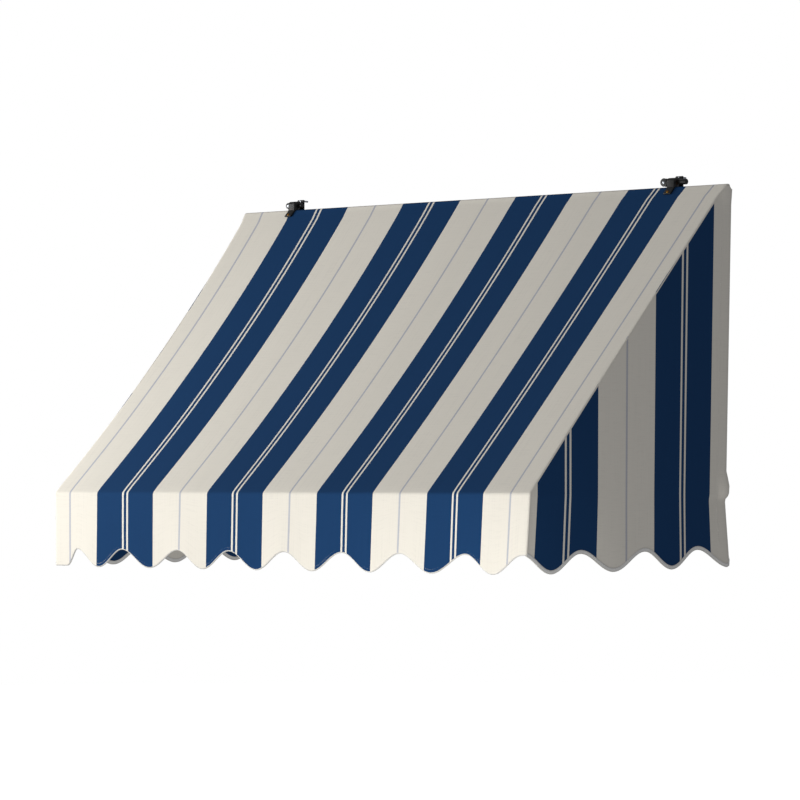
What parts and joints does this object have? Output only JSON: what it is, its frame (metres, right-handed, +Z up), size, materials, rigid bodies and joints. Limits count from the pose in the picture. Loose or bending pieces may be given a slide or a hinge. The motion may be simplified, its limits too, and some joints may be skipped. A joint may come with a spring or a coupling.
{
  "type": "window awning",
  "caption": "Fixed-pitch window awning: striped cloth cover with scalloped valances and side wings on a hinged tube frame, hung from a head tube in cast pulley brackets.",
  "frame": {"origin": "on the wall plane, half-way along the width, at the height of the two arm hinges", "axes": "+X along the width to the right as seen from the street, +Y into the wall, +Z up"},
  "size_m": [1.2752, 0.6957, 0.7977],
  "materials": {
    "striped_cloth": "woven acrylic cloth in cream and navy block stripes",
    "braid": "white woven braid",
    "frame_tube": "mill finish tube",
    "cast_fitting": "as cast",
    "black_casting": "black enamelled casting",
    "pulley_sheave": "moulded black nylon",
    "end_cap": "moulded black plastic",
    "hinge_plate": "zinc plated",
    "fastener": "zinc plated",
    "brass_screw": "tarnished brass"
  },
  "bodies": {
    "wall_side": {"header_tube": "frame_tube", "header_cap_left": "end_cap", "head_bracket_left": "black_casting", "bracket_screw_left_upper": "fastener", "bracket_screw_left_lower": "fastener", "cloth_screw_left": "brass_screw", "pulley_block_left": "black_casting", "sheave_axle_left": "fastener", "block_stud_left": "fastener", "barrel_nut_left": "black_casting", "wall_hinge_left": "hinge_plate", "hinge_screw_left_upper": "fastener", "hinge_screw_left_lower": "fastener", "hinge_pin_left": "fastener", "pin_washer_left": "fastener", "header_cap_right": "end_cap", "head_bracket_right": "black_casting", "bracket_screw_right_upper": "fastener", "bracket_screw_right_lower": "fastener", "cloth_screw_right": "brass_screw", "pulley_block_right": "black_casting", "sheave_axle_right": "fastener", "block_stud_right": "fastener", "barrel_nut_right": "black_casting", "wall_hinge_right": "hinge_plate", "hinge_screw_right_upper": "fastener", "hinge_screw_right_lower": "fastener", "hinge_pin_right": "fastener", "pin_washer_right": "fastener", "cover_cloth": "striped_cloth", "wing_cloth_left": "striped_cloth", "wing_cloth_right": "striped_cloth"},
    "frame": {"front_bar": "frame_tube", "arm_left": "frame_tube", "arm_eye_left": "cast_fitting", "corner_elbow_left": "cast_fitting", "elbow_screw_left_arm": "fastener", "elbow_screw_left_bar": "fastener", "rope_eye_left": "fastener", "arm_right": "frame_tube", "arm_eye_right": "cast_fitting", "corner_elbow_right": "cast_fitting", "elbow_screw_right_arm": "fastener", "elbow_screw_right_bar": "fastener", "rope_eye_right": "fastener", "front_braid": "braid", "wing_braid_left": "braid", "wing_braid_right": "braid"},
    "sheave_left": {"sheave_left": "pulley_sheave"},
    "sheave_right_front": {"sheave_right_front": "pulley_sheave"},
    "sheave_right_rear": {"sheave_right_rear": "pulley_sheave"}
  },
  "joints": [
    {"name": "frame_fold", "type": "hinge", "parent": "wall_side", "child": "frame", "pos_m": [0, -0.018, 0], "axis": [-1, 0, 0], "range_deg": [0, 78], "deforming": ["cover_cloth", "wing_cloth_left", "wing_cloth_right"]},
    {"name": "spin_left", "type": "hinge", "parent": "wall_side", "child": "sheave_left", "pos_m": [-0.5213, -0.02, 0.634], "axis": [0, 1, 0], "continuous": true},
    {"name": "spin_right_front", "type": "hinge", "parent": "wall_side", "child": "sheave_right_front", "pos_m": [0.4827, -0.02455, 0.634], "axis": [0, 1, 0], "continuous": true},
    {"name": "spin_right_rear", "type": "hinge", "parent": "wall_side", "child": "sheave_right_rear", "pos_m": [0.4827, -0.01545, 0.634], "axis": [0, 1, 0], "continuous": true}
  ]
}
